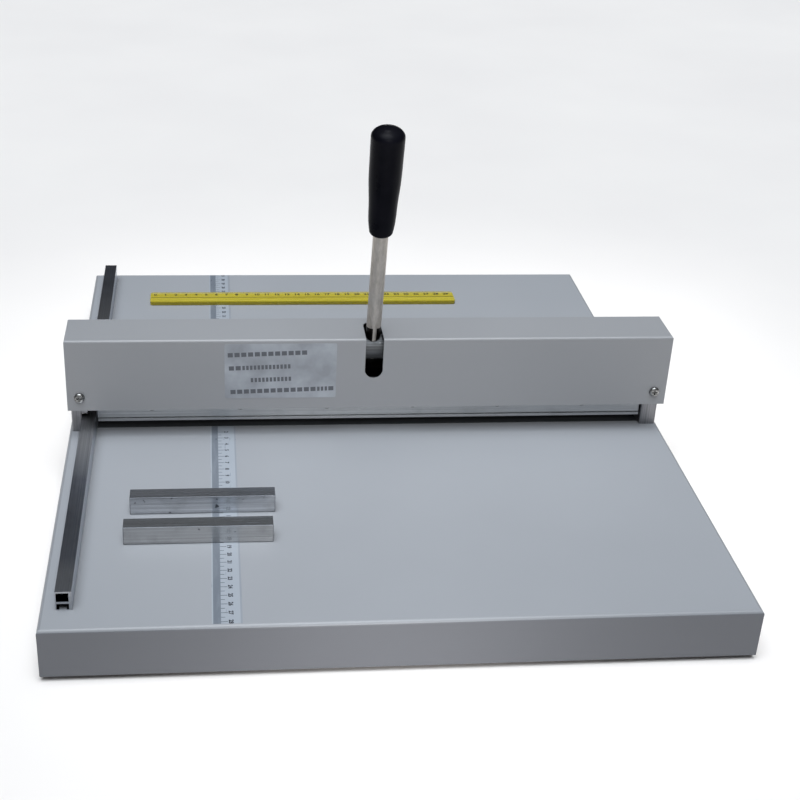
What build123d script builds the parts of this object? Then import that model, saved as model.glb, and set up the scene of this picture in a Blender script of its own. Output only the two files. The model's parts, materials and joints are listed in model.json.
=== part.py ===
from build123d import *
from math import cos, pi, radians, sin
import os

# Manual paper creasing machine.
# Frame: X runs right along the beam, Y runs to the rear, Z up, origin under the middle of the bed on the
# surface the feet stand on. Most pieces are drawn from the crease line: y = 0 there, z = 0 on the bed.

# bed
BED_W = 495.0
BED_D = 600.0
BED_H = 37.5
BED_T = 1.5
BEND_R = 3.0
FLANGE_W = 26.0
FOOT_H = 4.0
FOOT_R = 9.0
FOOT_X = 232.0
FOOT_Y = 255.0
FOOT_SINK_R = 4.5
FOOT_SINK = 2.5
BED_TOP = FOOT_H + BED_H
CREASE_Y = -15.0
BED_FRONT = -BED_D / 2 - CREASE_Y
BED_REAR = BED_D / 2 - CREASE_Y
SEAM_W = 0.4
RIB_Y = (-190.0, -90.0, 100.0, 200.0)
RIB_W = 14.0
RIB_H = 20.0

# sole beam and die under the crease line
SOLE_L = 488.0
SOLE_W = 40.0
SOLE_BOTTOM = -25.5
DIE_W = 19.0
DIE_T = 8.0
DIE_LEFT = -225.2
DIE_RIGHT = 231.3
DIE_X = (DIE_LEFT + DIE_RIGHT) / 2
DIE_L = DIE_RIGHT - DIE_LEFT
DIE_SCREW_PITCH = 120.0
DIE_SCREW_IN = 5.0
GROOVE_W = 1.4
GROOVE_H = 1.0

# posts and crossbeam
POST_IN = 231.5
POST_T = 13.5
POST_FOOT_Y = 15.0
STEP_Z = 25.2
HEAD_FRONT = -24.8
HEAD_REAR = 14.9
HEAD_TOP = 85.5
NOTCH_X = 237.0
NOTCH_H = 16.5
POST_SCREW_X = 241.0
POST_SCREW_Y = 8.0
POST_SCREW_IN = 20.0
BEAM_FRONT = 6.5
BEAM_BOTTOM = 27.0
BEAM_TOP = 84.0
BEAM_MID = (BEAM_FRONT + HEAD_REAR) / 2
BEAM_SCREW_Z = (50.0, 74.0)

# cover
COVER_W = 493.0
COVER_FRONT = -26.1
COVER_REAR = 16.2
COVER_BOTTOM = 25.0
COVER_TOP = 86.9
COVER_T = 1.2
COVER_R = 1.8
SLOT_W = 14.5
SLOT_BOTTOM = 52.0
SLOT_REAR = 7.0
COVER_SCREW_X = 236.6
COVER_SCREW_Z = 36.9
COVER_MID = (COVER_FRONT + COVER_REAR) / 2
COVER_D = COVER_REAR - COVER_FRONT

# lever and cam shaft
PIVOT_Y = -8.0
PIVOT_Z = 72.0
LEAN = 11.5
STROKE = 80.0
TRAVEL = 6.0
SHAFT_R = 6.0
SHAFT_END = 112.0
BOSS_R = 10.0
BOSS_W = 36.0
ROD_R = 6.0
SPIGOT_R = 5.0
SPIGOT_L = 45.0
GRIP_START = 108.6
GRIP_R = 12.84
GRIP_SIDE = 83.5
GRIP_DOME = 7.5
CAM_X = 100.0
CAM_W = 12.0
CAM_BASE = 9.0
CAM_HUB_R = 8.2
CAM_PIN_L = 16.0
CAM_RATE = TRAVEL / radians(STROKE)
BEARING_X = 60.0
BEARING_W = 16.0
BEARING_H = 22.0
BEARING_FRONT = -19.0
BEARING_SCREW_Z = (64.5, 79.5)
BUSH_R = 8.0
COLLAR_IN = 69.7
COLLAR_W = 8.0
COLLAR_R = 9.5
COLLAR_X = COLLAR_IN + COLLAR_W / 2
FLANGE_T = 1.5

# ram
RAM_LEFT = -224.0
RAM_RIGHT = 230.5
RAM_X = (RAM_LEFT + RAM_RIGHT) / 2
RAM_L = RAM_RIGHT - RAM_LEFT
RAM_FRONT = -11.5
RAM_REAR = 6.0
RAM_Y = (RAM_FRONT + RAM_REAR) / 2
RAM_BOTTOM = 10.0
RAM_TOP = 45.8
PLATE_BOTTOM = 7.6
PLATE_FRONT = -12.0
PLATE_SCREW_X = (-200.0, -100.0, 0.0, 100.0, 200.0)
PLATE_SCREW_Y = (-6.2, 3.2)
BLADE_TIP = 5.8
BLADE_TOP = 24.0
BLADE_T = 0.7
BLADE_LEFT = -214.0
BLADE_RIGHT = 217.0
BLADE_X = (BLADE_LEFT + BLADE_RIGHT) / 2
BLADE_L = BLADE_RIGHT - BLADE_LEFT
BLADE_SCREW_PITCH = 72.0
BLADE_SCREW_Z = 19.0
FOLLOWER_W = 26.0
FOLLOWER_D = RAM_REAR - RAM_FRONT - 1
FOLLOWER_STEP = 9.5
WEAR_T = 4.0
WEAR_TOP = PIVOT_Z - CAM_BASE - 0.3
KEY_TIP = 219.8
KEY_Y = (-7.0, 1.5)
KEY_Z = (27.0, 60.0)
KEY_MID = (KEY_Y[0] + KEY_Y[1]) / 2
KEY_SCREW_Z = (36.0, 54.0)

# lift bolts and return springs
LIFT_X = 190.0
LIFT_Y = -4.5
LIFT_R = 3.0
LIFT_IN = 13.0
BRACKET_Z = 46.0
BRACKET_T = 3.0
BRACKET_W = 28.0
BRACKET_H = 18.0
BRACKET_FRONT = -13.0
BRACKET_SCREW_Z = 58.0
BRACKET_SCREW_STEP = 9.5
WASHER_Z = 75.5
WASHER_T = 1.5
NUT_H = 5.0
SPRING_R = 4.7
WIRE_R = 0.6
SPRING_TURNS = 6.5

# side rail
RAIL_LEFT = -236.5
RAIL_W = 11.0
RAIL_H = 14.9
RAIL_FRONT = -262.0
RAIL_REAR = 303.5
RAIL_WALL = 0.6
RAIL_HOLLOW_W = 8.4
RAIL_HOLLOW_H = 6.8
RAIL_HOLLOW_Z = 6.8
RAIL_SLOT_H = 4.4
RAIL_LIP = 0.7
RAIL_MOUTH_W = 5.0
RAIL_BOLT_X = RAIL_LEFT + RAIL_WALL + RAIL_HOLLOW_W / 2
RAIL_BOLT_Y = (-236.0, -130.0, 150.0, 292.0)

# loose pieces and printed strips
TAPE_X = -122.3
TAPE_W = 20.6
TAPE_T = 0.2
LAID_Z = 0.25
BLOCK_L = 108.0
BLOCK_W = 12.4
BLOCK_H = 14.3
BLOCK_A = (-138.5, -138.2)
BLOCK_B = (-141.5, -178.7)
MAGNET_R = 4.0
MAGNET_H = 3.0
MAGNET_PITCH = 42.0
RULE_L = 302.0
RULE_W = 28.3
RULE_T = 3.0
RULE_EDGE = 1.4
RULE_BEVEL = 7.5
RULE_AT = (-39.2, 250.9)
LABEL_W = 90.0
LABEL_H = 48.5
LABEL_AT = (-75.5, 59.2)

# screws: radius, and the sinks for their heads
M3_R = 1.5
M3_SINK_R = 2.75
M4_R = 2.0
M4_SINK_R = 3.7
M5_R = 2.5
M5_SINK_R = 4.6
M5_SINK = 5.2

# radial clearance round a fixed screw or the turning shaft, round a loose screw, and of a press fit
FIT = 0.05
LOOSE = 0.2
PRESS = 0.02


def level(z):
    """Horizontal plane z above the bed, centred on the crease line."""
    return Plane(origin=(0, CREASE_Y, BED_TOP + z))


def across(x, y=0.0, z=0.0):
    """Vertical plane across the beam at x: local x runs to the rear, local y runs up."""
    return Plane(origin=(x, CREASE_Y + y, BED_TOP + z), x_dir=(0, 1, 0), z_dir=(1, 0, 0))


def facing(x, y, z, direction):
    """Plane at a point in the crease frame whose normal is the given direction."""
    return Plane(origin=(x, CREASE_Y + y, BED_TOP + z), z_dir=direction)


def front(y):
    """Vertical plane facing the user, y behind the crease line: local x runs right, local y up."""
    return Plane(origin=(0, CREASE_Y + y, BED_TOP), x_dir=(1, 0, 0), z_dir=(0, -1, 0))


def cam_ends(z):
    """Places of the follower screws, on a level z above the bed."""
    return [
        facing(side * CAM_X + step, RAM_Y, z, (0, 0, 1))
        for side in (-1, 1)
        for step in (-FOLLOWER_STEP, FOLLOWER_STEP)
    ]


def key_ends(side, x):
    """Places of one guide key's screws, at distance x from the middle."""
    return [facing(side * x, KEY_MID, z, (-side, 0, 0)) for z in KEY_SCREW_Z]


def bracket_ends(side, y):
    """Places of one spring bracket's screws, y behind the crease line."""
    return [
        facing(side * LIFT_X + step, y, BRACKET_SCREW_Z, (0, -1, 0))
        for step in (-BRACKET_SCREW_STEP, BRACKET_SCREW_STEP)
    ]


def plate_ends(z):
    """Places of the blade plate's screws, seen from below."""
    return [facing(x, y, z, (0, 0, -1)) for x in PLATE_SCREW_X for y in PLATE_SCREW_Y]


def cover_ends():
    """Places of the cover's screws, at its lower corners, front and rear."""
    return [
        facing(x, y, COVER_SCREW_Z, (0, way, 0))
        for x in (-COVER_SCREW_X, COVER_SCREW_X)
        for y, way in ((COVER_FRONT, -1), (COVER_REAR, 1))
    ]


# the lever's own plane holds the X axis and the rod; its local y runs up the rod from the pivot
UP_ROD = (0, -sin(radians(LEAN)), cos(radians(LEAN)))
BEHIND_ROD = (0, cos(radians(LEAN)), sin(radians(LEAN)))
PIVOT = (0, CREASE_Y + PIVOT_Y, BED_TOP + PIVOT_Z)
LEVER_SECTION = Plane(origin=PIVOT, x_dir=(1, 0, 0), z_dir=(0, -BEHIND_ROD[1], -BEHIND_ROD[2]))
LEVER_AXIS = Axis(PIVOT, UP_ROD)


def socket_screw(radius, length):
    """Socket-head screw: the head stands up from z = 0 and the shank points down."""
    with BuildPart() as screw:
        Cylinder(radius, length, align=(Align.CENTER, Align.CENTER, Align.MAX))
        Cylinder(1.7 * radius, 1.7 * radius, align=(Align.CENTER, Align.CENTER, Align.MIN))
        chamfer(screw.edges().group_by(Axis.Z)[-1], 0.15 * radius)
        with BuildSketch(Plane.XY.offset(1.7 * radius)):
            RegularPolygon(0.95 * radius, 6)
        extrude(amount=-radius, mode=Mode.SUBTRACT)
    return screw.part


def pan_screw(radius, length):
    """Pan-head screw with a cross recess: the head stands up from z = 0."""
    with BuildPart() as screw:
        Cylinder(radius, length, align=(Align.CENTER, Align.CENTER, Align.MAX))
        Cylinder(2.1 * radius, 1.3 * radius, align=(Align.CENTER, Align.CENTER, Align.MIN))
        fillet(screw.edges().group_by(Axis.Z)[-1], 0.9 * radius)
        with BuildSketch(Plane.XY.offset(1.3 * radius)):
            Rectangle(2.3 * radius, 0.5 * radius)
            Rectangle(0.5 * radius, 2.3 * radius)
        extrude(amount=-0.8 * radius, mode=Mode.SUBTRACT)
    return screw.part


def flush_screw(radius, length):
    """Countersunk screw: its flat head is level with z = 0 and the shank points down."""
    with BuildPart() as screw:
        with BuildSketch(Plane.XZ):
            with BuildLine():
                Polyline((0, 0), (1.8 * radius, 0), (radius, -0.8 * radius), (radius, -length), (0, -length))
                Line((0, -length), (0, 0))
            make_face()
        revolve(axis=Axis.Z)
        with BuildSketch(Plane.XY):
            RegularPolygon(0.8 * radius, 6)
        extrude(amount=-0.6 * radius, mode=Mode.SUBTRACT)
    return screw.part


def grub_screw(radius, length):
    """Headless set screw with its socket at z = 0 and its tip at -length."""
    with BuildPart() as screw:
        Cylinder(radius, length, align=(Align.CENTER, Align.CENTER, Align.MAX))
        with BuildSketch(Plane.XY):
            RegularPolygon(0.55 * radius, 6)
        extrude(amount=-0.45 * length, mode=Mode.SUBTRACT)
    return screw.part


def hex_nut(radius, height):
    """Hexagon nut standing on z = 0 round a bolt of the given radius."""
    with BuildPart() as nut:
        with BuildSketch():
            RegularPolygon(1.9 * radius, 6)
            Circle(radius + FIT, mode=Mode.SUBTRACT)
        extrude(amount=height)
    return nut.part


# ---------------------------------------------------------------- bed


def make_bed_pan():
    """Folded tray, open underneath, with inward flanges, seams at its corners and a window for the die."""
    with BuildPart() as hollow:
        with BuildSketch(Plane.XY.offset(FOOT_H)):
            Rectangle(BED_W - 2 * BED_T, BED_D - 2 * BED_T)
        extrude(amount=BED_H - BED_T)
        fillet(hollow.edges().group_by(Axis.Z)[-1], BEND_R - BED_T)
    with BuildPart() as bed_pan:
        with BuildSketch(Plane.XY.offset(FOOT_H)):
            Rectangle(BED_W, BED_D)
        extrude(amount=BED_H)
        fillet(bed_pan.edges().group_by(Axis.Z)[-1], BEND_R)
        add(hollow.part, mode=Mode.SUBTRACT)
        with BuildSketch(Plane.XY.offset(FOOT_H)):
            Rectangle(BED_W - 2 * BED_T, BED_D - 2 * BED_T)
            Rectangle(BED_W - 2 * FLANGE_W, BED_D - 2 * FLANGE_W, mode=Mode.SUBTRACT)
        extrude(amount=BED_T)
        # a mitred seam at each corner stops just below the top bend
        with BuildSketch(Plane.XY.offset(FOOT_H)):
            for side in (-1, 1):
                for end in (-1, 1):
                    with Locations(Location((side * BED_W / 2, end * BED_D / 2), 45 * side * end)):
                        Rectangle(3 * FLANGE_W, SEAM_W)
        extrude(amount=BED_H - BEND_R - 1, mode=Mode.SUBTRACT)
        with BuildSketch(level(-BED_T)):
            with Locations((DIE_X, 0)):
                Rectangle(DIE_L + 2 * LOOSE, DIE_W + 2 * LOOSE)
            with GridLocations(2 * POST_SCREW_X, 2 * POST_SCREW_Y, 2, 2):
                Circle(M5_R + LOOSE)
            with Locations(*[(RAIL_BOLT_X, y) for y in RAIL_BOLT_Y]):
                Circle(M4_R + LOOSE)
        extrude(amount=BED_T, mode=Mode.SUBTRACT)
        with BuildSketch(Plane.XY.offset(FOOT_H)):
            with GridLocations(2 * FOOT_X, 2 * FOOT_Y, 2, 2):
                Circle(M4_R + LOOSE)
        extrude(amount=BED_T, mode=Mode.SUBTRACT)
    bed_pan.part.label = "bed_pan"
    export_step(bed_pan.part, "parts/bed_pan.step")


def make_bed_ribs():
    """Four angle stiffeners under the bed sheet, side to side."""
    with BuildPart() as bed_ribs:
        with BuildSketch(across(-SOLE_L / 2)):
            for y in RIB_Y:
                with BuildLine():
                    Polyline(
                        (y, -BED_T),
                        (y + RIB_W, -BED_T),
                        (y + RIB_W, -2 * BED_T),
                        (y + BED_T, -2 * BED_T),
                        (y + BED_T, -RIB_H),
                        (y, -RIB_H),
                        close=True,
                    )
                make_face()
        extrude(amount=SOLE_L)
    bed_ribs.part.label = "bed_ribs"
    export_step(bed_ribs.part, "parts/bed_ribs.step")


def make_feet():
    """Four tapered rubber feet, each with a recess for its screw head."""
    with BuildPart() as rubber_feet:
        with BuildSketch(Plane.XY.offset(FOOT_H)):
            with GridLocations(2 * FOOT_X, 2 * FOOT_Y, 2, 2):
                Circle(FOOT_R)
        extrude(amount=-FOOT_H, taper=10)
        with Locations(Plane(origin=(0, 0, 0), z_dir=(0, 0, -1))):
            with GridLocations(2 * FOOT_X, 2 * FOOT_Y, 2, 2):
                CounterBoreHole(M4_R + LOOSE / 2, FOOT_SINK_R, FOOT_SINK, FOOT_H)
    rubber_feet.part.label = "rubber_feet"
    export_step(rubber_feet.part, "parts/rubber_feet.step")


def make_foot_screws():
    """Screws driven up through the feet, with their flat heads inside the recesses."""
    with BuildPart() as foot_screws:
        with Locations(Plane(origin=(0, 0, FOOT_SINK), z_dir=(0, 0, -1))):
            with GridLocations(2 * FOOT_X, 2 * FOOT_Y, 2, 2):
                Cylinder(2 * M4_R, 1.6, align=(Align.CENTER, Align.CENTER, Align.MIN))
                Cylinder(M4_R, 8.0, align=(Align.CENTER, Align.CENTER, Align.MAX))
    foot_screws.part.label = "foot_screws"
    export_step(foot_screws.part, "parts/foot_screws.step")


def make_foot_nuts():
    """Nuts on the flange above each foot."""
    nut = hex_nut(M4_R, 3.0)
    with BuildPart() as foot_nuts:
        with Locations(Plane.XY.offset(FOOT_H + BED_T)):
            with GridLocations(2 * FOOT_X, 2 * FOOT_Y, 2, 2):
                add(nut)
    foot_nuts.part.label = "foot_nuts"
    export_step(foot_nuts.part, "parts/foot_nuts.step")


# ---------------------------------------------------------------- frame


def make_sole_beam():
    """Steel bar under the bed: it ties the posts together and carries the die in a channel."""
    with BuildPart() as sole_beam:
        with BuildSketch(across(-SOLE_L / 2)):
            with Locations((0, SOLE_BOTTOM)):
                Rectangle(SOLE_W, -BED_T - SOLE_BOTTOM, align=(Align.CENTER, Align.MIN))
            with Locations((0, -DIE_T)):
                Rectangle(DIE_W + LOOSE, DIE_T, align=(Align.CENTER, Align.MIN), mode=Mode.SUBTRACT)
        extrude(amount=SOLE_L)
        with Locations(level(-BED_T)):
            with GridLocations(2 * POST_SCREW_X, 2 * POST_SCREW_Y, 2, 2):
                Hole(M5_R + LOOSE)
        with Locations(level(-DIE_T)):
            with GridLocations(DIE_SCREW_PITCH, 1, 4, 1):
                Hole(M4_R + LOOSE)
    sole_beam.part.label = "sole_beam"
    export_step(sole_beam.part, "parts/sole_beam.step")


def make_die_bar():
    """Grooved black bar that lies flush in the bed under the creasing blade."""
    with BuildPart() as die_bar:
        with BuildSketch(level(0)):
            with Locations((DIE_X, 0)):
                Rectangle(DIE_L, DIE_W)
        extrude(amount=-DIE_T)
        chamfer(die_bar.edges().group_by(Axis.Z)[-1].filter_by(Axis.X), 0.4)
        with BuildSketch(level(0)):
            with Locations((DIE_X, 0)):
                Rectangle(DIE_L, GROOVE_W)
        extrude(amount=-GROOVE_H, mode=Mode.SUBTRACT)
        with BuildSketch(level(-DIE_T)):
            with GridLocations(DIE_SCREW_PITCH, 1, 4, 1):
                Circle(M4_R + FIT)
        extrude(amount=DIE_SCREW_IN + 0.5, mode=Mode.SUBTRACT)
    die_bar.part.label = "die_bar"
    export_step(die_bar.part, "parts/die_bar.step")


def make_die_screws():
    """Screws that hold the die down from under the sole beam."""
    screw = socket_screw(M4_R, -SOLE_BOTTOM - DIE_T + DIE_SCREW_IN)
    with BuildPart() as die_screws:
        with Locations(facing(0, 0, SOLE_BOTTOM, (0, 0, -1))):
            with GridLocations(DIE_SCREW_PITCH, 1, 4, 1):
                add(screw)
    die_screws.part.label = "die_screws"
    export_step(die_screws.part, "parts/die_screws.step")


def make_post(name, side):
    """End post: a foot on the bed and a deeper head that fills the cover. side is -1 left, 1 right."""
    with BuildPart() as post:
        with BuildSketch(across(side * POST_IN)):
            with BuildLine():
                Polyline(
                    (-POST_FOOT_Y, 0),
                    (POST_FOOT_Y, 0),
                    (POST_FOOT_Y, STEP_Z),
                    (HEAD_REAR, STEP_Z),
                    (HEAD_REAR, HEAD_TOP),
                    (HEAD_FRONT, HEAD_TOP),
                    (HEAD_FRONT, STEP_Z),
                    (-POST_FOOT_Y, STEP_Z),
                    close=True,
                )
            make_face()
        extrude(amount=side * POST_T)
        chamfer(post.edges().filter_by(Axis.Z).group_by(Axis.Y)[1], 0.6)
        if side < 0:
            # the rail passes through a notch in the left post's inner bottom corner
            with BuildSketch(level(0)):
                with Locations((-(NOTCH_X + POST_IN) / 2, 0)):
                    Rectangle(NOTCH_X - POST_IN, 2 * POST_FOOT_Y)
            extrude(amount=NOTCH_H, mode=Mode.SUBTRACT)
        with BuildSketch(level(0)):
            with Locations((side * POST_SCREW_X, -POST_SCREW_Y), (side * POST_SCREW_X, POST_SCREW_Y)):
                Circle(M5_R + FIT)
        extrude(amount=POST_SCREW_IN + 2, mode=Mode.SUBTRACT)
        for z in BEAM_SCREW_Z:
            with Locations(facing(side * (POST_IN + POST_T), BEAM_MID, z, (side, 0, 0))):
                CounterBoreHole(M5_R + FIT, M5_SINK_R, M5_SINK, POST_T)
        with Locations(*key_ends(side, POST_IN)):
            Hole(M4_R + FIT, 9)
        for y, way in ((HEAD_FRONT, -1), (HEAD_REAR, 1)):
            with Locations(facing(side * COVER_SCREW_X, y, COVER_SCREW_Z, (0, way, 0))):
                Hole(M4_R + FIT, 9)
    post.part.label = name
    export_step(post.part, f"parts/{name}.step")


def make_post_screws():
    """Screws from under the sole beam, up through the bed sheet into the posts."""
    screw = socket_screw(M5_R, -SOLE_BOTTOM + POST_SCREW_IN)
    with BuildPart() as post_screws:
        with Locations(facing(0, 0, SOLE_BOTTOM, (0, 0, -1))):
            with GridLocations(2 * POST_SCREW_X, 2 * POST_SCREW_Y, 2, 2):
                add(screw)
    post_screws.part.label = "post_screws"
    export_step(post_screws.part, "parts/post_screws.step")


def make_crossbeam():
    """Flat bar between the post heads, behind the ram: it carries the bearings and the spring brackets."""
    with BuildPart() as crossbeam:
        with BuildSketch(across(-POST_IN + FIT)):
            with Locations((BEAM_FRONT, BEAM_BOTTOM)):
                Rectangle(HEAD_REAR - BEAM_FRONT, BEAM_TOP - BEAM_BOTTOM, align=(Align.MIN, Align.MIN))
        extrude(amount=2 * (POST_IN - FIT))
        for side in (-1, 1):
            for z in BEAM_SCREW_Z:
                with Locations(facing(side * POST_IN, BEAM_MID, z, (side, 0, 0))):
                    Hole(M5_R + FIT, 15)
            for z in BEARING_SCREW_Z:
                with Locations(facing(side * BEARING_X, HEAD_REAR, z, (0, 1, 0))):
                    CounterBoreHole(M5_R + FIT, M5_SINK_R, M5_SINK, 10)
            with Locations(*bracket_ends(side, BEAM_FRONT)):
                Hole(M4_R + FIT, 7)
    crossbeam.part.label = "crossbeam"
    export_step(crossbeam.part, "parts/crossbeam.step")


def make_beam_screws():
    """Screws through the posts into the ends of the crossbeam."""
    screw = socket_screw(M5_R, 20.0)
    x = POST_IN + POST_T - M5_SINK
    with BuildPart() as beam_screws:
        for side in (-1, 1):
            with Locations(*[facing(side * x, BEAM_MID, z, (side, 0, 0)) for z in BEAM_SCREW_Z]):
                add(screw)
    beam_screws.part.label = "beam_screws"
    export_step(beam_screws.part, "parts/beam_screws.step")


def make_bearing_block(name, side):
    """Pillow block on the crossbeam's front face, bored for its bush."""
    with BuildPart() as block:
        with BuildSketch(across(side * BEARING_X - BEARING_W / 2, z=PIVOT_Z)):
            with Locations((BEARING_FRONT, 0)):
                Rectangle(BEAM_FRONT - BEARING_FRONT, BEARING_H, align=(Align.MIN, Align.CENTER))
            with Locations((PIVOT_Y, 0)):
                Circle(BUSH_R + PRESS, mode=Mode.SUBTRACT)
        extrude(amount=BEARING_W)
        chamfer(block.edges().filter_by(Axis.X).group_by(Axis.Y)[0], 3)
        for z in BEARING_SCREW_Z:
            with Locations(facing(side * BEARING_X, BEAM_FRONT, z, (0, 1, 0))):
                Hole(M5_R + FIT, 6)
    block.part.label = name
    export_step(block.part, f"parts/{name}.step")


def make_bearing_screws():
    """Screws through the crossbeam into the bearing blocks, heads sunk in its rear face."""
    screw = socket_screw(M5_R, 8.8)
    with BuildPart() as bearing_screws:
        with Locations(*[
            facing(x, HEAD_REAR - M5_SINK, z, (0, 1, 0))
            for x in (-BEARING_X, BEARING_X)
            for z in BEARING_SCREW_Z
        ]):
            add(screw)
    bearing_screws.part.label = "bearing_screws"
    export_step(bearing_screws.part, "parts/bearing_screws.step")


def make_bush(name, side):
    """Flanged bronze bush for the cam shaft, flange on the outer side."""
    inner = side * (BEARING_X - BEARING_W / 2)
    outer = side * (BEARING_X + BEARING_W / 2)
    with BuildPart() as bush:
        with BuildSketch(across(inner, PIVOT_Y, PIVOT_Z)):
            Circle(BUSH_R)
            Circle(SHAFT_R + FIT, mode=Mode.SUBTRACT)
        extrude(amount=side * BEARING_W)
        with BuildSketch(across(outer, PIVOT_Y, PIVOT_Z)):
            Circle(COLLAR_R)
            Circle(SHAFT_R + FIT, mode=Mode.SUBTRACT)
        extrude(amount=side * FLANGE_T)
    bush.part.label = name
    export_step(bush.part, f"parts/{name}.step")


# ---------------------------------------------------------------- lever and cams


def make_cam_shaft():
    """Stepped shaft: a thick boss in the middle takes the lever rod, the ends carry the cams."""
    with BuildPart() as cam_shaft:
        with BuildSketch(across(-SHAFT_END, PIVOT_Y, PIVOT_Z)):
            Circle(SHAFT_R)
        extrude(amount=2 * SHAFT_END)
        chamfer(cam_shaft.edges(), 0.8)
        with BuildSketch(across(-BOSS_W / 2, PIVOT_Y, PIVOT_Z)):
            Circle(BOSS_R)
        extrude(amount=BOSS_W)
        with Locations(Plane(origin=PIVOT, z_dir=UP_ROD).offset(BOSS_R)):
            Hole(SPIGOT_R + FIT)
        with Locations(Plane(origin=PIVOT, z_dir=BEHIND_ROD).offset(BOSS_R)):
            Hole(M5_R + FIT, BOSS_R)
        for x in (-CAM_X, CAM_X):
            with Locations(facing(x, PIVOT_Y, PIVOT_Z + SHAFT_R, (0, 0, 1))):
                Hole(M3_R + FIT, 2 * SHAFT_R)
    cam_shaft.part.label = "cam_shaft"
    export_step(cam_shaft.part, "parts/cam_shaft.step")


def cam_point(angle):
    """Point of the cam's working face whose outward normal is at angle, from the shaft's centre.

    The face moves a flat follower by CAM_RATE for each radian that the lever turns."""
    reach = CAM_BASE + CAM_RATE * (-pi / 2 - angle)
    return (
        reach * cos(angle) + CAM_RATE * sin(angle),
        reach * sin(angle) - CAM_RATE * cos(angle),
    )


def make_cam(name, side):
    """Snail cam pinned to the shaft above its follower."""
    face = [cam_point(radians(-80 - 9.5 * step)) for step in range(11)]
    with BuildPart() as cam:
        with BuildSketch(across(side * CAM_X - CAM_W / 2, PIVOT_Y, PIVOT_Z)):
            with BuildLine():
                Spline(*face)
                Polyline(face[-1], (-14.2, 5.6), (-10.5, 7.6), (0, CAM_HUB_R), (0, -CAM_HUB_R), face[0])
            make_face()
            Circle(CAM_HUB_R)
            Circle(SHAFT_R + PRESS, mode=Mode.SUBTRACT)
        extrude(amount=CAM_W)
        with Locations(facing(side * CAM_X, PIVOT_Y, PIVOT_Z + CAM_BASE, (0, 0, 1))):
            Hole(M3_R + FIT, 2 * CAM_BASE)
    cam.part.label = name
    export_step(cam.part, f"parts/{name}.step")


def make_cam_pins():
    """Pins that lock the cams to the shaft."""
    with BuildPart() as cam_pins:
        with Locations(*[facing(x, PIVOT_Y, PIVOT_Z, (0, 0, 1)) for x in (-CAM_X, CAM_X)]):
            Cylinder(M3_R, CAM_PIN_L)
    cam_pins.part.label = "cam_pins"
    export_step(cam_pins.part, "parts/cam_pins.step")


def make_shaft_collars():
    """Collars outside the bushes: they keep the shaft from sliding sideways."""
    with BuildPart() as shaft_collars:
        for side in (-1, 1):
            with BuildSketch(across(side * COLLAR_IN, PIVOT_Y, PIVOT_Z)):
                Circle(COLLAR_R)
                Circle(SHAFT_R + PRESS, mode=Mode.SUBTRACT)
            extrude(amount=side * COLLAR_W)
            with Locations(facing(side * COLLAR_X, PIVOT_Y, PIVOT_Z + COLLAR_R, (0, 0, 1))):
                Hole(M4_R + FIT, COLLAR_R)
    shaft_collars.part.label = "shaft_collars"
    export_step(shaft_collars.part, "parts/shaft_collars.step")


def make_collar_screws():
    """Set screws of the collars."""
    screw = grub_screw(M4_R, COLLAR_R - SHAFT_R - 0.3)
    top = PIVOT_Z + COLLAR_R - 0.2
    with BuildPart() as collar_screws:
        with Locations(*[facing(x, PIVOT_Y, top, (0, 0, 1)) for x in (-COLLAR_X, COLLAR_X)]):
            add(screw)
    collar_screws.part.label = "collar_screws"
    export_step(collar_screws.part, "parts/collar_screws.step")


def make_lever_rod():
    """Round rod with a spigot at each end: one fits the boss, the other the grip."""
    with BuildPart() as lever_rod:
        with BuildSketch(LEVER_SECTION):
            with BuildLine():
                Polyline(
                    (0, -9.5),
                    (SPIGOT_R - 0.6, -9.5),
                    (SPIGOT_R, -8.9),
                    (SPIGOT_R, BOSS_R + 0.2),
                    (ROD_R - 0.5, BOSS_R + 0.2),
                    (ROD_R, BOSS_R + 0.7),
                    (ROD_R, GRIP_START),
                    (SPIGOT_R, GRIP_START),
                    (SPIGOT_R, GRIP_START + SPIGOT_L),
                    (0, GRIP_START + SPIGOT_L),
                    close=True,
                )
            make_face()
        revolve(axis=LEVER_AXIS)
    lever_rod.part.label = "lever_rod"
    export_step(lever_rod.part, "parts/lever_rod.step")


def make_hub_set_screw():
    """Set screw that locks the rod in the boss, from behind."""
    screw = grub_screw(M5_R, BOSS_R - SPIGOT_R - 0.3)
    with BuildPart() as hub_set_screw:
        with Locations(Plane(origin=PIVOT, z_dir=BEHIND_ROD).offset(BOSS_R - 0.25)):
            add(screw)
    hub_set_screw.part.label = "hub_set_screw"
    export_step(hub_set_screw.part, "parts/hub_set_screw.step")


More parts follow.
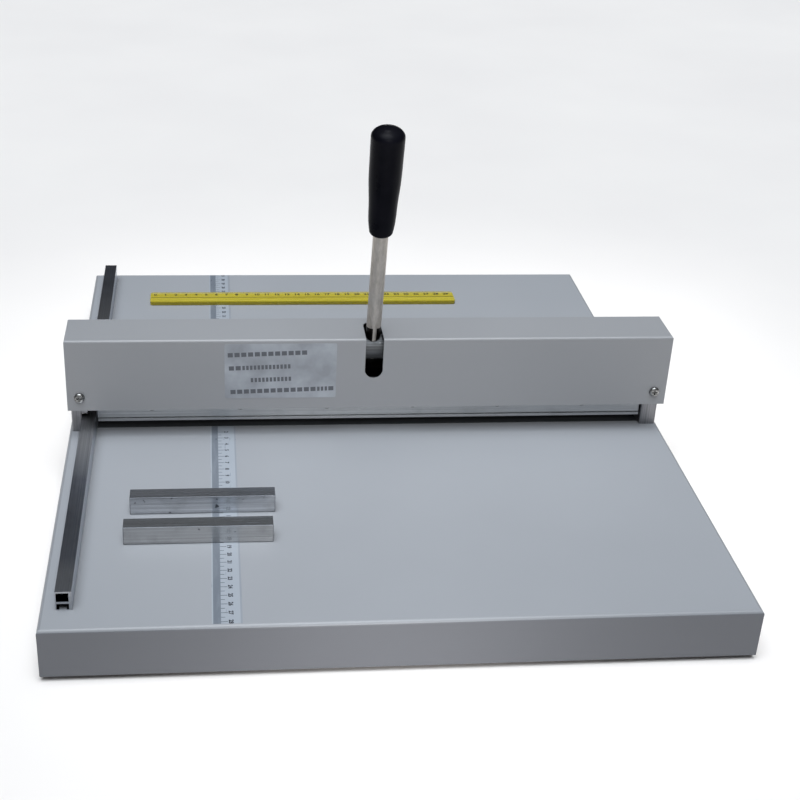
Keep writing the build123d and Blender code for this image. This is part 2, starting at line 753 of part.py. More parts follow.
def make_lever_grip():
    """Moulded grip: a rounded neck, a slow swell towards the top and a shallow dome."""
    bore = SPIGOT_R + FIT
    depth = GRIP_START + SPIGOT_L + 1
    dome = GRIP_START + GRIP_SIDE
    with BuildPart() as lever_grip:
        with BuildSketch(LEVER_SECTION):
            with BuildLine():
                Line((bore, GRIP_START), (6.2, GRIP_START))
                RadiusArc((6.2, GRIP_START), (9.4, GRIP_START + 3.2), -3.2)
                Spline(
                    (9.4, GRIP_START + 3.2),
                    (10.34, GRIP_START + 10.0),
                    (11.0, GRIP_START + 25.0),
                    (12.28, GRIP_START + 46.0),
                    (12.67, GRIP_START + 67.0),
                    (GRIP_R, dome),
                    tangents=((0.15, 1), (0, 1)),
                )
                Spline(
                    (GRIP_R, dome),
                    (0.924 * GRIP_R, dome + 0.383 * GRIP_DOME),
                    (0.707 * GRIP_R, dome + 0.707 * GRIP_DOME),
                    (0.383 * GRIP_R, dome + 0.924 * GRIP_DOME),
                    (0, dome + GRIP_DOME),
                    tangents=((0, 1), (-1, 0)),
                )
                Polyline((0, dome + GRIP_DOME), (0, depth), (bore, depth), (bore, GRIP_START))
            make_face()
        revolve(axis=LEVER_AXIS)
    lever_grip.part.label = "lever_grip"
    export_step(lever_grip.part, "parts/lever_grip.step")


# ---------------------------------------------------------------- ram


def make_ram_bar():
    """Steel bar that slides up and down between the posts, slotted underneath for the blade."""
    with BuildPart() as ram_bar:
        with BuildSketch(level(RAM_BOTTOM)):
            with Locations((RAM_X, RAM_Y)):
                Rectangle(RAM_L, RAM_REAR - RAM_FRONT)
            # grooves for the guide keys
            for side in (-1, 1):
                with Locations((side * (KEY_TIP - 0.8), KEY_Y[0] - 0.1)):
                    corner = Align.MIN if side > 0 else Align.MAX
                    Rectangle(20, KEY_Y[1] - KEY_Y[0] + 0.2, align=(corner, Align.MIN), mode=Mode.SUBTRACT)
        extrude(amount=RAM_TOP - RAM_BOTTOM)
        low = ram_bar.edges().group_by(Axis.Z)[0].filter_by(Axis.X).group_by(Axis.Y)
        chamfer(low[0], 0.8)
        with BuildSketch(level(RAM_BOTTOM)):
            with Locations((BLADE_X, BLADE_T / 2)):
                Rectangle(BLADE_L + 0.4, BLADE_T + 0.15, align=(Align.CENTER, Align.MAX))
        extrude(amount=BLADE_TOP - RAM_BOTTOM + 0.5, mode=Mode.SUBTRACT)
        with Locations(front(RAM_FRONT)):
            with Locations((0, BLADE_SCREW_Z)):
                with GridLocations(BLADE_SCREW_PITCH, 1, 6, 1):
                    Hole(M5_R + FIT, -RAM_FRONT)
        with Locations(*plate_ends(RAM_BOTTOM)):
            Hole(M3_R + FIT, 10)
        with Locations(level(RAM_TOP)):
            with Locations((-LIFT_X, LIFT_Y), (LIFT_X, LIFT_Y)):
                Hole(LIFT_R + FIT, LIFT_IN + 1)
        with Locations(*cam_ends(RAM_TOP)):
            Hole(M4_R + FIT, 12)
    ram_bar.part.label = "ram_bar"
    export_step(ram_bar.part, "parts/ram_bar.step")


def make_blade_plate():
    """Bright strip under the ram bar, with a slit that the blade stands through."""
    with BuildPart() as blade_plate:
        with BuildSketch(level(PLATE_BOTTOM)):
            with Locations((RAM_X, PLATE_FRONT)):
                Rectangle(RAM_L, RAM_REAR - PLATE_FRONT, align=(Align.CENTER, Align.MIN))
            with Locations((BLADE_X, 0)):
                Rectangle(BLADE_L + 0.6, BLADE_T + 0.6, mode=Mode.SUBTRACT)
        extrude(amount=RAM_BOTTOM - PLATE_BOTTOM)
        with Locations(*plate_ends(PLATE_BOTTOM)):
            CounterSinkHole(M3_R + FIT, M3_SINK_R, 3)
    blade_plate.part.label = "blade_plate"
    export_step(blade_plate.part, "parts/blade_plate.step")


def make_plate_screws():
    """Countersunk screws that hold the blade plate under the ram bar."""
    screw = flush_screw(M3_R, 10.0)
    with BuildPart() as plate_screws:
        with Locations(*plate_ends(PLATE_BOTTOM)):
            add(screw)
    plate_screws.part.label = "plate_screws"
    export_step(plate_screws.part, "parts/plate_screws.step")


def make_creasing_blade():
    """Thin steel creasing rule with a rounded working edge."""
    with BuildPart() as creasing_blade:
        with BuildSketch(across(BLADE_LEFT)):
            with Locations((0, BLADE_TIP)):
                Rectangle(BLADE_T, BLADE_TOP - BLADE_TIP, align=(Align.CENTER, Align.MIN))
        extrude(amount=BLADE_L)
        fillet(creasing_blade.edges().filter_by(Axis.X).group_by(Axis.Z)[0], 0.25)
    creasing_blade.part.label = "creasing_blade"
    export_step(creasing_blade.part, "parts/creasing_blade.step")


def make_blade_screws():
    """Set screws in the ram bar's front face that clamp the blade in its slot."""
    sunk = 0.5
    screw = grub_screw(M5_R, -RAM_FRONT - BLADE_T / 2 - sunk)
    with BuildPart() as blade_screws:
        with Locations(front(RAM_FRONT + sunk)):
            with Locations((0, BLADE_SCREW_Z)):
                with GridLocations(BLADE_SCREW_PITCH, 1, 6, 1):
                    add(screw)
    blade_screws.part.label = "blade_screws"
    export_step(blade_screws.part, "parts/blade_screws.step")


def make_follower_blocks():
    """Blocks on top of the ram bar that bring its push up to the cams."""
    with BuildPart() as follower_blocks:
        with BuildSketch(level(RAM_TOP)):
            with Locations((-CAM_X, RAM_Y), (CAM_X, RAM_Y)):
                Rectangle(FOLLOWER_W, FOLLOWER_D)
        extrude(amount=WEAR_TOP - WEAR_T - RAM_TOP)
        with Locations(*cam_ends(WEAR_TOP - WEAR_T)):
            Hole(M4_R + FIT)
    follower_blocks.part.label = "follower_blocks"
    export_step(follower_blocks.part, "parts/follower_blocks.step")


def make_wear_plates():
    """Hardened plates that the cams press on."""
    with BuildPart() as wear_plates:
        with BuildSketch(level(WEAR_TOP - WEAR_T)):
            with Locations((-CAM_X, RAM_Y), (CAM_X, RAM_Y)):
                Rectangle(FOLLOWER_W, FOLLOWER_D)
        extrude(amount=WEAR_T)
        with Locations(*cam_ends(WEAR_TOP)):
            CounterSinkHole(M4_R + FIT, M4_SINK_R, WEAR_T)
    wear_plates.part.label = "wear_plates"
    export_step(wear_plates.part, "parts/wear_plates.step")


def make_follower_screws():
    """Countersunk screws through wear plates and follower blocks into the ram bar."""
    screw = flush_screw(M4_R, 26.0)
    with BuildPart() as follower_screws:
        with Locations(*cam_ends(WEAR_TOP - 0.1)):
            add(screw)
    follower_screws.part.label = "follower_screws"
    export_step(follower_screws.part, "parts/follower_screws.step")


def make_guide_keys():
    """Keys on the posts' inner faces that the ram's end grooves slide on."""
    with BuildPart() as guide_keys:
        for side in (-1, 1):
            with BuildSketch(across(side * KEY_TIP)):
                with Locations((KEY_MID, (KEY_Z[0] + KEY_Z[1]) / 2)):
                    Rectangle(KEY_Y[1] - KEY_Y[0], KEY_Z[1] - KEY_Z[0])
            extrude(amount=side * (POST_IN - KEY_TIP))
            with Locations(*key_ends(side, KEY_TIP)):
                CounterSinkHole(M4_R + FIT, M4_SINK_R, POST_IN - KEY_TIP)
    guide_keys.part.label = "guide_keys"
    export_step(guide_keys.part, "parts/guide_keys.step")


def make_key_screws():
    """Countersunk screws that hold the guide keys to the posts."""
    screw = flush_screw(M4_R, 20.0)
    with BuildPart() as key_screws:
        for side in (-1, 1):
            with Locations(*key_ends(side, KEY_TIP + 0.1)):
                add(screw)
    key_screws.part.label = "key_screws"
    export_step(key_screws.part, "parts/key_screws.step")


def make_spring_brackets():
    """Angles on the crossbeam: the lift bolts pass through them and the return springs stand on them."""
    with BuildPart() as spring_brackets:
        for side in (-1, 1):
            with BuildSketch(across(side * LIFT_X - BRACKET_W / 2)):
                with BuildLine():
                    Polyline(
                        (BRACKET_FRONT, BRACKET_Z),
                        (BEAM_FRONT, BRACKET_Z),
                        (BEAM_FRONT, BRACKET_Z + BRACKET_H),
                        (BEAM_FRONT - BRACKET_T, BRACKET_Z + BRACKET_H),
                        (BEAM_FRONT - BRACKET_T, BRACKET_Z + BRACKET_T),
                        (BRACKET_FRONT, BRACKET_Z + BRACKET_T),
                        close=True,
                    )
                make_face()
            extrude(amount=BRACKET_W)
            with Locations(facing(side * LIFT_X, LIFT_Y, BRACKET_Z + BRACKET_T, (0, 0, 1))):
                Hole(LIFT_R + 2 * LOOSE, BRACKET_T)
            with Locations(*bracket_ends(side, BEAM_FRONT - BRACKET_T)):
                Hole(M4_R + LOOSE, BRACKET_T)
    spring_brackets.part.label = "spring_brackets"
    export_step(spring_brackets.part, "parts/spring_brackets.step")


def make_bracket_screws():
    """Screws that hold the spring brackets to the crossbeam."""
    screw = pan_screw(M4_R, 9.0)
    with BuildPart() as bracket_screws:
        for side in (-1, 1):
            with Locations(*bracket_ends(side, BEAM_FRONT - BRACKET_T)):
                add(screw)
    bracket_screws.part.label = "bracket_screws"
    export_step(bracket_screws.part, "parts/bracket_screws.step")


def make_lift_bolts():
    """Studs screwed into the ram bar: the springs push them up and the ram hangs from them."""
    low = RAM_TOP - LIFT_IN
    high = WASHER_Z + WASHER_T + NUT_H + 1.5
    with BuildPart() as lift_bolts:
        with Locations(*[facing(x, LIFT_Y, low, (0, 0, 1)) for x in (-LIFT_X, LIFT_X)]):
            Cylinder(LIFT_R, high - low, align=(Align.CENTER, Align.CENTER, Align.MIN))
        chamfer(lift_bolts.edges(), 0.5)
    lift_bolts.part.label = "lift_bolts"
    export_step(lift_bolts.part, "parts/lift_bolts.step")


def make_lift_washers():
    """Washers on top of the return springs."""
    with BuildPart() as lift_washers:
        with BuildSketch(level(WASHER_Z)):
            with Locations((-LIFT_X, LIFT_Y), (LIFT_X, LIFT_Y)):
                Circle(7)
                Circle(LIFT_R + FIT, mode=Mode.SUBTRACT)
        extrude(amount=WASHER_T)
    lift_washers.part.label = "lift_washers"
    export_step(lift_washers.part, "parts/lift_washers.step")


def make_lift_nuts():
    """Nuts that hold the washers on the lift bolts."""
    nut = hex_nut(LIFT_R, NUT_H)
    with BuildPart() as lift_nuts:
        with Locations(*[facing(x, LIFT_Y, WASHER_Z + WASHER_T, (0, 0, 1)) for x in (-LIFT_X, LIFT_X)]):
            add(nut)
    lift_nuts.part.label = "lift_nuts"
    export_step(lift_nuts.part, "parts/lift_nuts.step")


def make_return_springs():
    """Two compression springs round the lift bolts, between bracket and washer."""
    low = BRACKET_Z + BRACKET_T + WIRE_R + FIT
    height = WASHER_Z - WIRE_R - FIT - low
    pitch = height / SPRING_TURNS
    with BuildPart() as return_springs:
        for x in (-LIFT_X, LIFT_X):
            with BuildLine():
                coil = Helix(pitch, height, SPRING_R, center=(x, CREASE_Y + LIFT_Y, BED_TOP + low))
            with BuildSketch(Plane(origin=coil @ 0, z_dir=coil % 0)):
                Circle(WIRE_R)
            sweep(path=coil, is_frenet=True)
    return_springs.part.label = "return_springs"
    export_step(return_springs.part, "parts/return_springs.step")


# ---------------------------------------------------------------- cover


def make_top_cover():
    """Folded cover over the mechanism, open underneath, with a slot for the lever."""
    with BuildPart() as top_cover:
        with BuildSketch(level(COVER_BOTTOM)):
            with Locations((0, COVER_MID)):
                Rectangle(COVER_W, COVER_D)
        extrude(amount=COVER_TOP - COVER_BOTTOM)
        fillet(top_cover.edges().group_by(Axis.Z)[-1], COVER_R)
        with BuildSketch(level(COVER_BOTTOM)):
            with Locations((0, COVER_MID)):
                Rectangle(COVER_W - 2 * COVER_T, COVER_D - 2 * COVER_T)
        extrude(amount=COVER_TOP - COVER_BOTTOM - COVER_T, mode=Mode.SUBTRACT)
        # the slot rises up the front from a round end and runs back over the top to another
        with BuildSketch(front(COVER_FRONT + 8)):
            with Locations((0, SLOT_BOTTOM + SLOT_W / 2)):
                Circle(SLOT_W / 2)
                Rectangle(SLOT_W, COVER_TOP - SLOT_BOTTOM, align=(Align.CENTER, Align.MIN))
        extrude(amount=10, mode=Mode.SUBTRACT)
        with BuildSketch(level(COVER_TOP - 4)):
            with Locations((0, SLOT_REAR - SLOT_W / 2)):
                Circle(SLOT_W / 2)
                Rectangle(SLOT_W, SLOT_REAR - COVER_FRONT, align=(Align.CENTER, Align.MAX))
        extrude(amount=6, mode=Mode.SUBTRACT)
        with Locations(*cover_ends()):
            Hole(M4_R + LOOSE, 4)
    top_cover.part.label = "top_cover"
    export_step(top_cover.part, "parts/top_cover.step")


def make_cover_screws():
    """Cross-recessed screws through the cover's lower corners into the posts, front and rear."""
    screw = pan_screw(M4_R, 8.0)
    with BuildPart() as cover_screws:
        with Locations(*cover_ends()):
            add(screw)
    cover_screws.part.label = "cover_screws"
    export_step(cover_screws.part, "parts/cover_screws.step")


def make_label_plate():
    """Blank adhesive label on the cover's front."""
    with BuildPart() as label_plate:
        with BuildSketch(front(COVER_FRONT)):
            with Locations(LABEL_AT):
                RectangleRounded(LABEL_W, LABEL_H, 1.5)
        extrude(amount=0.2)
    label_plate.part.label = "label_plate"
    export_step(label_plate.part, "parts/label_plate.step")


# ---------------------------------------------------------------- side rail, scales, loose pieces


def make_side_rail():
    """Aluminium extrusion: a box above, a T-slot open to the bed below."""
    with BuildPart() as side_rail:
        with BuildSketch(front(RAIL_REAR)):
            with Locations((RAIL_LEFT, 0)):
                Rectangle(RAIL_W, RAIL_H, align=(Align.MIN, Align.MIN))
            with Locations((RAIL_BOLT_X, RAIL_HOLLOW_Z)):
                Rectangle(
                    RAIL_HOLLOW_W, RAIL_HOLLOW_H, align=(Align.CENTER, Align.MIN), mode=Mode.SUBTRACT
                )
            with Locations((RAIL_BOLT_X, RAIL_LIP)):
                Rectangle(RAIL_HOLLOW_W, RAIL_SLOT_H, align=(Align.CENTER, Align.MIN), mode=Mode.SUBTRACT)
            with Locations((RAIL_BOLT_X, 0)):
                Rectangle(RAIL_MOUTH_W, 2 * RAIL_LIP, align=(Align.CENTER, Align.MIN), mode=Mode.SUBTRACT)
        extrude(amount=RAIL_REAR - RAIL_FRONT)
    side_rail.part.label = "side_rail"
    export_step(side_rail.part, "parts/side_rail.step")


def make_rail_bolts():
    """T-bolts with their heads in the rail's slot and their shanks through the bed sheet."""
    with BuildPart() as rail_bolts:
        with Locations(*[facing(RAIL_BOLT_X, y, RAIL_LIP + 0.1, (0, 0, 1)) for y in RAIL_BOLT_Y]):
            Box(7.6, 8, 3.2, align=(Align.CENTER, Align.CENTER, Align.MIN))
            Cylinder(M4_R, 8.5, align=(Align.CENTER, Align.CENTER, Align.MAX))
    rail_bolts.part.label = "rail_bolts"
    export_step(rail_bolts.part, "parts/rail_bolts.step")


def make_rail_nuts():
    """Nuts under the bed sheet on the rail's T-bolts."""
    nut = hex_nut(M4_R, 3.2)
    with BuildPart() as rail_nuts:
        with Locations(*[facing(RAIL_BOLT_X, y, -BED_T, (0, 0, -1)) for y in RAIL_BOLT_Y]):
            add(nut)
    rail_nuts.part.label = "rail_nuts"
    export_step(rail_nuts.part, "parts/rail_nuts.step")


def make_scale_tape(name, near, far):
    """Printed film strip on the bed, between two distances from the crease line."""
    with BuildPart() as tape:
        with BuildSketch(level(0)):
            with Locations((TAPE_X, (near + far) / 2)):
                Rectangle(TAPE_W, far - near)
        extrude(amount=TAPE_T)
    tape.part.label = name
    export_step(tape.part, f"parts/{name}.step")


def make_stop_block(letter, place):
    """Loose aluminium stop block and the magnets pressed into its underside."""
    x, y = place
    with BuildPart() as block:
        with BuildSketch(level(LAID_Z)):
            with Locations((x, y)):
                Rectangle(BLOCK_L, BLOCK_W)
        extrude(amount=BLOCK_H)
        chamfer(block.edges(), 0.15)
        with Locations(facing(x, y, LAID_Z, (0, 0, -1))):
            with GridLocations(MAGNET_PITCH, 1, 3, 1):
                Hole(MAGNET_R + FIT, MAGNET_H + 0.2)
    block.part.label = f"stop_block_{letter}"
    export_step(block.part, f"parts/stop_block_{letter}.step")
    with BuildPart() as magnets:
        with Locations(facing(x, y, LAID_Z + MAGNET_H + 0.1, (0, 0, -1))):
            with GridLocations(MAGNET_PITCH, 1, 3, 1):
                Cylinder(MAGNET_R, MAGNET_H, align=(Align.CENTER, Align.CENTER, Align.MIN))
    magnets.part.label = f"block_{letter}_magnets"
    export_step(magnets.part, f"parts/block_{letter}_magnets.step")


def make_back_rule():
    """Loose plastic rule laid across the rear bed as a back stop, bevelled along its rear edge."""
    near = RULE_AT[1] - RULE_W / 2
    far = RULE_AT[1] + RULE_W / 2
    with BuildPart() as back_rule:
        with BuildSketch(across(RULE_AT[0] - RULE_L / 2, z=LAID_Z)):
            with BuildLine():
                Polyline(
                    (near, 0),
                    (far, 0),
                    (far, RULE_EDGE),
                    (far - RULE_BEVEL, RULE_T),
                    (near, RULE_T),
                    close=True,
                )
            make_face()
        extrude(amount=RULE_L)
        fillet(back_rule.edges().filter_by(Axis.Z), 3)
    back_rule.part.label = "back_rule"
    export_step(back_rule.part, "parts/back_rule.step")


os.makedirs("parts", exist_ok=True)
make_bed_pan()
make_bed_ribs()
make_feet()
make_foot_screws()
make_foot_nuts()
make_sole_beam()
make_die_bar()
make_die_screws()
make_post("post_left", -1)
make_post("post_right", 1)
make_post_screws()
make_crossbeam()
make_beam_screws()
make_bearing_block("bearing_block_left", -1)
make_bearing_block("bearing_block_right", 1)
make_bearing_screws()
make_bush("bush_left", -1)
make_bush("bush_right", 1)
make_cam_shaft()
make_cam("cam_left", -1)
make_cam("cam_right", 1)
make_cam_pins()
make_shaft_collars()
make_collar_screws()
make_lever_rod()
make_hub_set_screw()
make_lever_grip()
make_ram_bar()
make_blade_plate()
make_plate_screws()
make_creasing_blade()
make_blade_screws()
make_follower_blocks()
make_wear_plates()
make_follower_screws()
make_guide_keys()
make_key_screws()
make_spring_brackets()
make_bracket_screws()
make_lift_bolts()
make_lift_washers()
make_lift_nuts()
make_return_springs()
make_top_cover()
make_cover_screws()
make_label_plate()
make_side_rail()
make_rail_bolts()
make_rail_nuts()
make_scale_tape("scale_tape_front", BED_FRONT + BEND_R, -DIE_W / 2 - 0.5)
make_scale_tape("scale_tape_rear", DIE_W / 2 + 0.5, BED_REAR - BEND_R)
make_stop_block("a", BLOCK_A)
make_stop_block("b", BLOCK_B)
make_back_rule()
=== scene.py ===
import json
import math

import bmesh
import bpy
from mathutils import Matrix, Vector


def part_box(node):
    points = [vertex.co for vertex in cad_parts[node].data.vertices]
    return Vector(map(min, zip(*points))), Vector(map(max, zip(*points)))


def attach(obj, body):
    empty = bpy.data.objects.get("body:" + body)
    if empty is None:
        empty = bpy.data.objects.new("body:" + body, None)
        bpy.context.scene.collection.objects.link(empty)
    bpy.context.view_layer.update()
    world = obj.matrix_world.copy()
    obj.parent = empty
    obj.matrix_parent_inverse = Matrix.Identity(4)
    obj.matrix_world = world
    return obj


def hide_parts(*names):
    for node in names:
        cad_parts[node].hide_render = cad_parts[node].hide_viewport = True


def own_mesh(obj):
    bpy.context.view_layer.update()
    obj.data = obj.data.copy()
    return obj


# Looks of the manual paper creasing machine. Metres, in the CAD frame: X right along the beam, Y to the
# rear, Z up, origin on the floor under the middle of the bed.
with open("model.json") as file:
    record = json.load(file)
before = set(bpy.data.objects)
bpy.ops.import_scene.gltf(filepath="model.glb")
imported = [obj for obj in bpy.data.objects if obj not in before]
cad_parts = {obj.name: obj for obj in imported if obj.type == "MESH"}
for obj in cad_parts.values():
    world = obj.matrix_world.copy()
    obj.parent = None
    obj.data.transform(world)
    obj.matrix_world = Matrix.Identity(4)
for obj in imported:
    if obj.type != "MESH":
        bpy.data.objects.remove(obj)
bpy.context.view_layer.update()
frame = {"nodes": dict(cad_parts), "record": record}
NODES = frame["nodes"]
MM = 0.001

# corners and lines that the frame gives
BED_LOW, BED_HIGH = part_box("bed_pan")
COVER_LOW, COVER_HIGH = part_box("top_cover")
RAIL_LOW, RAIL_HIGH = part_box("side_rail")
RAM_LOW, RAM_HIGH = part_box("ram_bar")
RULE_LOW, RULE_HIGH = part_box("back_rule")
LABEL_LOW, LABEL_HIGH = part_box("label_plate")
CREASE_Y = sum(corner.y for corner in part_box("creasing_blade")) / 2
TAPE_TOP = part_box("scale_tape_front")[1].z

# the lever leans this far towards the operator at rest
LEAN = math.radians(11.5)

# camera at the photograph's viewing angle: metres, radians, lens in mm, shift in image widths
CAMERA_AT = Vector((-0.12906, -1.0687, 0.6169))
CAMERA_YAW = 0.11774
CAMERA_PITCH = 0.49738
CAMERA_ROLL = 0.043526
CAMERA_LENS = 64.14
CAMERA_SHIFT = (0.0469, 0.0244)
CAMERA_CLIP = (0.05, 100)


# ---------------------------------------------------------------- node helpers


# a noise value lies mostly between these two
NOISE_LOW = 0.3
NOISE_HIGH = 0.7


def add(tree, kind, inputs=(), **settings):
    """A new node. Its inputs are named or numbered, and each is a value or another node's output."""
    made = tree.nodes.new(kind)
    for name, value in settings.items():
        setattr(made, name, value)
    for name, value in dict(inputs).items():
        if isinstance(value, bpy.types.NodeSocket):
            tree.links.new(value, made.inputs[name])
        else:
            made.inputs[name].default_value = value
    return made


def stretched(tree, coords, scale, turn=(0, 0, 0)):
    """Coordinates scaled differently along each axis, as brushing or extrusion lines need."""
    made = add(tree, "ShaderNodeMapping", {"Vector": coords, "Rotation": turn, "Scale": scale})
    return made.outputs["Vector"]


def noise(tree, coords, scale, detail, rough=0.55):
    """Noise value around 0.5; scale is in features per metre where coords are metres."""
    inputs = {"Vector": coords, "Scale": scale, "Detail": detail, "Roughness": rough}
    return add(tree, "ShaderNodeTexNoise", inputs).outputs["Fac"]


def spread(tree, value, low, high, out_low, out_high):
    """value moved from low..high to out_low..out_high, and held there at both ends."""
    inputs = {"Value": value, "From Min": low, "From Max": high, "To Min": out_low, "To Max": out_high}
    return add(tree, "ShaderNodeMapRange", inputs).outputs["Result"]


def shaded(tree, share, colour_a, colour_b):
    """Colour between two colours, by a share or a node's value."""
    made = add(tree, "ShaderNodeMix", {0: share}, data_type="RGBA")
    for slot, colour in ((6, colour_a), (7, colour_b)):
        if isinstance(colour, bpy.types.NodeSocket):
            tree.links.new(colour, made.inputs[slot])
        else:
            made.inputs[slot].default_value = (*colour, 1)
    return made.outputs[2]


def by_noise(tree, value, colour_a, colour_b):
    """Colour between two colours, by a noise value."""
    return shaded(tree, spread(tree, value, NOISE_LOW, NOISE_HIGH, 0.0, 1.0), colour_a, colour_b)


def toned(colour, factor, lift=0.0):
    """A colour made darker or lighter by a factor, with a little grey added."""
    return tuple(factor * part + lift for part in colour)


def maths(tree, operation, a, b):
    """One arithmetic step on two numbers or node values."""
    return add(tree, "ShaderNodeMath", {0: a, 1: b}, operation=operation).outputs[0]


def along(tree, coords, axis):
    """One coordinate of a position."""
    return add(tree, "ShaderNodeSeparateXYZ", {0: coords}).outputs[axis]


def within(tree, coords, low, high):
    """1 inside the box between two corners and 0 outside it."""
    share = 1.0
    for axis, start, stop in zip("XYZ", low, high):
        place = along(tree, coords, axis)
        share = maths(tree, "MULTIPLY", share, maths(tree, "GREATER_THAN", place, start))
        share = maths(tree, "MULTIPLY", share, maths(tree, "LESS_THAN", place, stop))
    return share


def bump(tree, height, strength, depth):
    """Surface relief from a height value."""
    inputs = {"Height": height, "Strength": strength, "Distance": depth}
    return add(tree, "ShaderNodeBump", inputs).outputs["Normal"]


def new_material(name, **constants):
    """Material, its node tree, its shader and its object coordinates. Constants are set on the shader."""
    material = bpy.data.materials.new(name)
    material.use_nodes = True
    tree = material.node_tree
    shader = tree.nodes["Principled BSDF"]
    for socket, value in constants.items():
        shader.inputs[socket.replace("_", " ")].default_value = value
    coords = add(tree, "ShaderNodeTexCoord").outputs["Object"]
    return material, tree, shader, coords


def wire(tree, shader, colour, roughness, normal=None):
    """Joins finished node values to the shader."""
    for socket, value in (("Base Color", colour), ("Roughness", roughness), ("Normal", normal)):
        if value is not None:
            tree.links.new(value, shader.inputs[socket])


# ---------------------------------------------------------------- zones of a node


# Each zone is a box between two corners, and the surfaces inside it get a colour of their own; many zones
# hold painted shade, and some painted light. A zone reaches OUT past the node on its open sides, and one
# that takes in a single face is 1 to 5 SKINs deep.
OUT = Vector((MM, MM, MM))
SKIN = 0.01 * MM


def top_face(low, high):
    """Zone of the top face of a node, from the node's corners."""
    return (Vector((low.x - MM, low.y - MM, high.z - SKIN)), high + OUT)


# the bed's bends start just below its top face, and its upright walls further down; both are painted in
# darker greys as painted shade
FOLD_DROP = 0.04 * MM
WALL_DROP = 1.8 * MM
BED_FOLD = (BED_LOW - OUT, BED_HIGH + Vector((MM, MM, -FOLD_DROP)))
BED_WALLS = (BED_LOW - OUT, BED_HIGH + Vector((MM, MM, -WALL_DROP)))

# the inside of the cover lies more than half a sheet inside its outer faces, and is painted near black as
# painted shade
HALF_SHEET = 0.6 * MM
COVER_INSIDE = (
    COVER_LOW + Vector((HALF_SHEET, HALF_SHEET, -HALF_SHEET)),
    COVER_HIGH - Vector((HALF_SHEET, HALF_SHEET, HALF_SHEET)),
)

# the rail's cut front end; its right side, painted lighter as painted light; and its hollow, whose right
# wall is thicker than the others, painted near black as painted shade
RAIL_END = (RAIL_LOW - OUT, Vector((RAIL_HIGH.x + MM, RAIL_LOW.y + 2 * SKIN, RAIL_HIGH.z + MM)))
RAIL_LIT_SIDE = (Vector((RAIL_HIGH.x - 5 * SKIN, RAIL_LOW.y, RAIL_LOW.z)), RAIL_HIGH + OUT)
RAIL_SHADED_HOLLOW = (RAIL_LOW + Vector((0.3, 0.02, 0.3)) * MM, RAIL_HIGH - Vector((1.7, 0.02, 0.3)) * MM)
RAIL_PATCHES = (
    (RAIL_SHADED_HOLLOW, (0.001, 0.001, 0.002), (0.002, 0.003, 0.004)),
    (RAIL_LIT_SIDE, (0.36, 0.38, 0.42), (0.62, 0.65, 0.70)),
    (RAIL_END, (0.37, 0.38, 0.395), (0.52, 0.53, 0.55)),
)

# the rod's foot, where it goes into the shaft, is painted dark as painted shade on both sides of a narrow
# line left unpainted for its highlight
ROD_SHADED_SIDES = ((-9.0 * MM, -1.2 * MM), (1.9 * MM, 9.0 * MM))
ROD_FOOT = (0.1, 0.1338)
ROD_REACH = 0.1
ROD_PATCHES = tuple(
    (
        ((start, -ROD_REACH, ROD_FOOT[0]), (stop, ROD_REACH, ROD_FOOT[1])),
        (0.010, 0.008, 0.007),
        (0.03, 0.026, 0.024),
    )
    for start, stop in ROD_SHADED_SIDES
)

# the ram's top face is painted dark under the slot, as painted shade
RAM_PATCHES = ((top_face(RAM_LOW, RAM_HIGH), (0.004, 0.006, 0.009), (0.010, 0.014, 0.019)),)


# ---------------------------------------------------------------- materials


COAT_ROUGH = 0.4
# the lighter metal of the rail's painted reflection
SHEEN_METAL = ((0.38, 0.39, 0.41), (0.62, 0.63, 0.65))
PIT_GREY = (0.05, 0.052, 0.058)


def powder_coat(name, colour, patches):
    """Semi-gloss powder coat: fine orange peel, faint mottling, dark specks and handling marks.

    Each patch is a zone and the colour of the surfaces inside it, a darker colour painted on as painted
    shade."""
    material, tree, shader, coords = new_material(name)
    mottle = noise(tree, coords, scale=9.0, detail=2.0)
    speck = noise(tree, coords, scale=1400.0, detail=2.0)
    tone = by_noise(tree, mottle, toned(colour, 0.985), toned(colour, 1.015))
    tone = shaded(tree, spread(tree, speck, 0.64, 0.78, 0.0, 0.2), tone, toned(colour, 0.8))
    for zone, patch_colour in patches:
        tone = shaded(tree, within(tree, coords, *zone), tone, patch_colour)
    smear = noise(tree, stretched(tree, coords, (22, 9, 22)), scale=1.0, detail=5.0)
    gloss = spread(tree, smear, NOISE_LOW, NOISE_HIGH, COAT_ROUGH - 0.02, COAT_ROUGH + 0.03)
    peel = noise(tree, coords, scale=520.0, detail=2.0)
    wire(tree, shader, tone, gloss, bump(tree, peel, 0.12, 0.25 * MM))
    return material


